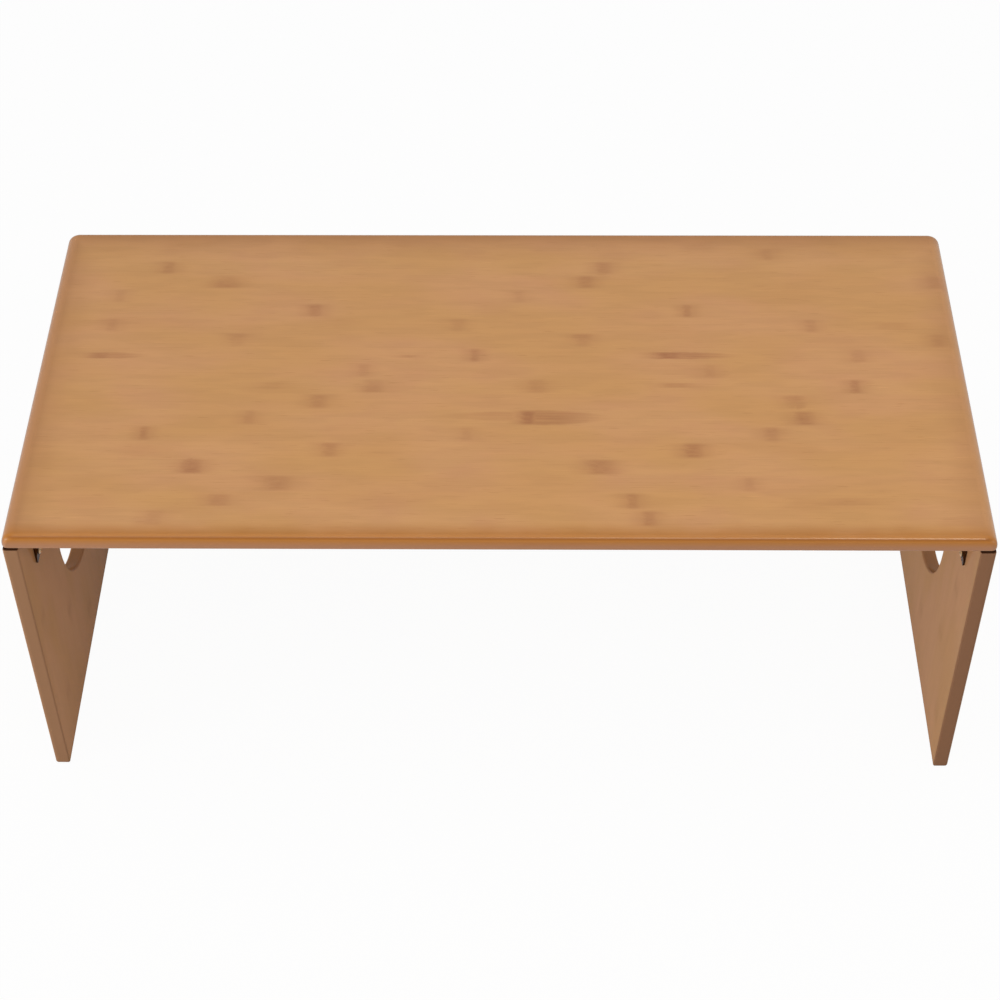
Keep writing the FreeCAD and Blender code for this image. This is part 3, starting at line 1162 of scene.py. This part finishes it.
@dataclass
class Studio:
    """The camera, the floor, the surroundings and the lamps.

    Attributes:
        camera_place: where the camera stands, in metres.
        tilt_deg: how far it looks down.
        turn_deg: how far it turns to the left.
        roll_deg: how far it rolls.
        lens: its focal length in millimetres.
        frame_width: the width of its frame in millimetres.
        floor_size: the width of the floor.
        floor_glow: how much of the floor's own white shows, the rest being its shadows.
        surround_light: how strongly the surroundings light the table.
        lamps: the soft boxes.
    """

    camera_place: tuple[float, float, float] = (0.02396, -1.37231, 1.58854)
    tilt_deg: float = 46.457
    turn_deg: float = 1.062
    roll_deg: float = -0.616
    lens: float = 78.90
    frame_width: float = 36.0
    floor_size: float = 24.0
    floor_glow: float = 0.96
    surround_light: float = 0.4
    lamps: tuple[SoftLamp, ...] = (
        SoftLamp("overhead_softbox", (0.05, -0.3, 2.4), (0.0, -0.05, 0.3), 3.2, 2.4, 26.5),
        SoftLamp("key_softbox", (0.69, -1.35, 1.9), (0.3, -0.19, 0.3), 0.34, 0.6, 5.4, WARM_LIGHT),
        SoftLamp("middle_softbox", (0.3, -1.35, 1.9), (0.1, -0.19, 0.3), 0.44, 0.6, 2.8, WARM_LIGHT),
        SoftLamp("faint_softbox", (-0.14, -1.35, 1.9), (-0.1, -0.19, 0.3), 0.44, 0.6, 1.0, WARM_LIGHT),
        SoftLamp("left_softbox", (-2.4, -1.2, 0.36), (0.1, 0.0, 0.15), 0.8, 0.6, 34.0),
        SoftLamp("right_softbox", (2.4, -1.0, 0.36), (-0.1, 0.0, 0.15), 0.8, 0.6, 5.0),
    )

    def build(self) -> None:
        """Make everything that isn't the table."""
        self._camera()
        self._floor()
        self._surroundings()
        for lamp in self.lamps:
            lamp.hang()
        bpy.context.scene.view_settings.view_transform = "Standard"
        log.info("studio: %d lamps, lens %.2f mm", len(self.lamps), self.lens)

    def _camera(self) -> None:
        """The camera at the photographed angle."""
        data = bpy.data.cameras.new("camera")
        data.sensor_width = self.frame_width
        data.lens = self.lens
        data.clip_end = 4 * self.floor_size
        camera = bpy.data.objects.new("camera", data)
        camera.location = self.camera_place
        upright = Euler((math.radians(90 - self.tilt_deg), 0.0, math.radians(self.turn_deg)))
        roll = Euler((0.0, 0.0, math.radians(self.roll_deg)))
        camera.rotation_euler = (upright.to_matrix() @ roll.to_matrix()).to_euler()
        bpy.context.scene.collection.objects.link(camera)
        bpy.context.scene.camera = camera

    def _floor(self) -> None:
        """A white floor that keeps the table's soft shadow."""
        half = self.floor_size / 2
        mesh = bpy.data.meshes.new("floor")
        corners = [(-half, -half, 0), (half, -half, 0), (half, half, 0), (-half, half, 0)]
        mesh.from_pydata(corners, [], [(0, 1, 2, 3)])
        r = Recipe(bpy.data.materials.new("white_floor"))
        lit = r.node("ShaderNodeBsdfDiffuse", {}, {"Color": tone(225, 225, 225)})
        glow = r.node("ShaderNodeEmission", {}, {"Color": tone(255, 255, 255), "Strength": 1.0})
        r.close(r.node("ShaderNodeMixShader", {}, {0: r.shown() * self.floor_glow, 1: lit, 2: glow}))
        mesh.materials.append(r.owner)
        floor = bpy.data.objects.new("floor", mesh)
        bpy.context.scene.collection.objects.link(floor)

    def _surroundings(self) -> None:
        """White all round where it is seen, and softer as a light."""
        bpy.context.scene.world = bpy.data.worlds.new("surroundings")
        r = Recipe(bpy.context.scene.world)
        white = tone(255, 255, 255)
        soft = r.node("ShaderNodeBackground", {}, {"Color": white, "Strength": self.surround_light})
        full = r.node("ShaderNodeBackground", {}, {"Color": white, "Strength": 1.0})
        light = r.node("ShaderNodeMixShader", {}, {0: r.shown(), 1: soft, 2: full})
        r.close(light, "ShaderNodeOutputWorld")


TOP_KNOTS = (
    Knot(1, 0.153, 0.35, 20), Knot(1, 0.652, 0.6, 13), Knot(1, 0.962, 0.25, 40, -0.6, cover=0.6),
    Knot(2, 0.216, 0.45, 24, cover=0.8), Knot(2, 0.636, 0.65, 13, 0.2), Knot(2, 0.856, 0.25, 55, cover=0.5),
    Knot(3, 0.274, 0.5, 29), Knot(3, 0.756, 0.35, 13),
    Knot(4, 0.184, 0.9, 18, -0.4, -16.0), Knot(4, 0.605, 0.65, 30),
    Knot(5, 0.324, 0.65, 19, 0.3), Knot(5, 0.701, 0.75, 19),
    Knot(6, 0.128, 0.6, 10), Knot(6, 0.466, 0.3, 14), Knot(6, 0.784, 0.6, 15, 0.3),
    Knot(7, 0.236, 0.45, 13, -0.2), Knot(7, 0.53, 1.0, 17, 0.1, 76.0),
    Knot(7, 0.52, 0.5, 8, 0.5, -80.0, 0.6), Knot(7, 0.82, 0.7, 19, -0.1),
    Knot(8, 0.3075, 0.5, 18), Knot(8, 0.812, 0.6, 19, 0.8, 14.0),
    Knot(9, 0.256, 0.25, 34, cover=0.5), Knot(9, 0.364, 0.65, 20, -0.6), Knot(9, 0.539, 0.45, 21, -0.3),
    Knot(9, 0.688, 0.5, 34, 0.2, -16.0, 0.35), Knot(9, 0.878, 0.7, 13),
    Knot(10, 0.353, 0.4, 15, 0.3), Knot(10, 0.725, 0.3, 14),
    Knot(11, 0.066, 0.8, 24, -0.2, 48.0, 0.45), Knot(11, 0.472, 0.6, 11),
    Knot(11, 0.681, 0.95, 38, 0.0, 72.0, 0.5), Knot(11, 0.886, 0.5, 15, -0.6),
    Knot(11, 0.4, 0.5, 17, -0.2, 0.0, 0.2),
    Knot(12, 0.2125, 0.55, 18, 0.8), Knot(12, 0.589, 0.7, 19, 0.8), Knot(12, 0.975, 0.45, 16),
    Knot(13, 0.0725, 0.35, 14), Knot(13, 0.453, 0.45, 16, 0.5), Knot(13, 0.839, 0.45, 13),
    Knot(13, 0.928, 0.25, 42, 0.0, 0.0, 0.6),
    Knot(14, 0.294, 0.7, 16, 0.2), Knot(14, 0.705, 0.6, 11),
    Knot(15, 0.075, 0.3, 12), Knot(15, 0.519, 0.3, 15),
    Knot(16, 0.191, 0.75, 28, -0.8), Knot(16, 0.594, 0.6, 18, 0.2), Knot(16, 0.984, 0.5, 20, -0.5),
    Knot(17, 0.124, 0.55, 16), Knot(17, 0.614, 0.5, 18),
    Knot(18, 0.8, 0.35, 13),
)
LEG_KNOTS = (
    Knot(1, 0.62, 0.4), Knot(2, 0.18, 0.5, 20, 0.4), Knot(4, 0.8, 0.5, 15), Knot(5, 0.35, 0.6, 18, -0.4),
    Knot(7, 0.55, 0.4, 22), Knot(8, 0.12, 0.5, 14), Knot(10, 0.7, 0.5, 18, 0.3, -30.0),
    Knot(11, 0.28, 0.4, 16), Knot(13, 0.9, 0.5, 20), Knot(14, 0.47, 0.6, 15, 0.6),
    Knot(16, 0.15, 0.4, 18, 0.0, 24.0), Knot(17, 0.66, 0.5), Knot(18, 0.38, 0.4, 14),
)
TOP_TONES = BambooTones(
    pale=tone(205, 154, 104), rosy=tone(202, 148, 104), honey=tone(200, 150, 93), fibre=tone(181, 128, 80),
    knot=tone(152, 94, 62), toned=tone(170, 107, 34), toning_and_painted_shade=tone(170, 119, 76), rim=tone(134, 76, 20),
    lower=tone(166, 120, 90), end_grain_and_painted_light=tone(148, 124, 112),
)
LEFT_LEG_TONES = BambooTones(
    pale=tone(184, 137, 95), rosy=tone(180, 131, 92), honey=tone(178, 132, 82), fibre=tone(158, 112, 70),
    knot=tone(128, 84, 52), toned=tone(152, 112, 80), toning_and_painted_shade=tone(152, 108, 74), rim=tone(76, 44, 20),
    lower=tone(144, 108, 81), end_grain_and_painted_light=tone(50, 24, 10),
)
# The right leg: slightly paler wood as painted light on its lit inner face, darker front faces as painted
# shade
RIGHT_LEG_PAINTED_LIGHT_TONES = replace(
    LEFT_LEG_TONES, pale=tone(185, 140, 100), rosy=tone(181, 134, 97), honey=tone(179, 135, 88),
    toned=tone(130, 94, 67), lower=tone(130, 94, 71),
)
LEG_TONES = {"left": LEFT_LEG_TONES, "right": RIGHT_LEG_PAINTED_LIGHT_TONES}


def main() -> None:
    """Build the studio, dress the boards and make the brackets."""
    logging.basicConfig(level=logging.INFO, format="%(message)s")
    Studio().build()
    low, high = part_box("tabletop")
    axes = (Axis.X, Axis.Y, Axis.Z)
    Board("tabletop", Bamboo("bamboo_top", low, high, axes, TOP_KNOTS, TOP_TONES)).dress()
    for side in ("left", "right"):
        node = f"{side}_leg_panel"
        low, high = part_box(node)
        bore = Bore(HOLE_HEIGHT, (high.y - low.y) / 2 / MILLIMETRE, HOLE_RADIUS)
        finish = Bamboo(
            f"bamboo_{side}_leg", low, high, axes[::-1], LEG_KNOTS, LEG_TONES[side],
            toning=(Toning(6.0, 0.25, 0.0),) * 4, contrast=0.5, sheen=0.09, base_sheen=0.0, edge_sheen=0.09,
            painted_light_below_band=(-2.0, -1.0), end_grain_and_painted_light_reach=(1.3, 0.7), painted_dark_reflection_share=0.0, bore=bore,
        )
        Board(node, finish).dress()
    lacquer = Lacquer("dark_bronze_lacquer", tone(56, 30, 9), tone(74, 42, 14)).material()
    plating = PlatedSteel("plated_steel", tone(178, 148, 112), tone(150, 118, 78)).material()
    nylon = Nylon("washer_nylon_matt", tone(206, 200, 184), tone(188, 180, 162)).material()
    for side in ("left", "right"):
        for end in ("front", "rear"):
            FoldingBracket(side, end, lacquer, plating, nylon, CrossScrew()).dress()


if __name__ == "__main__":
    main()
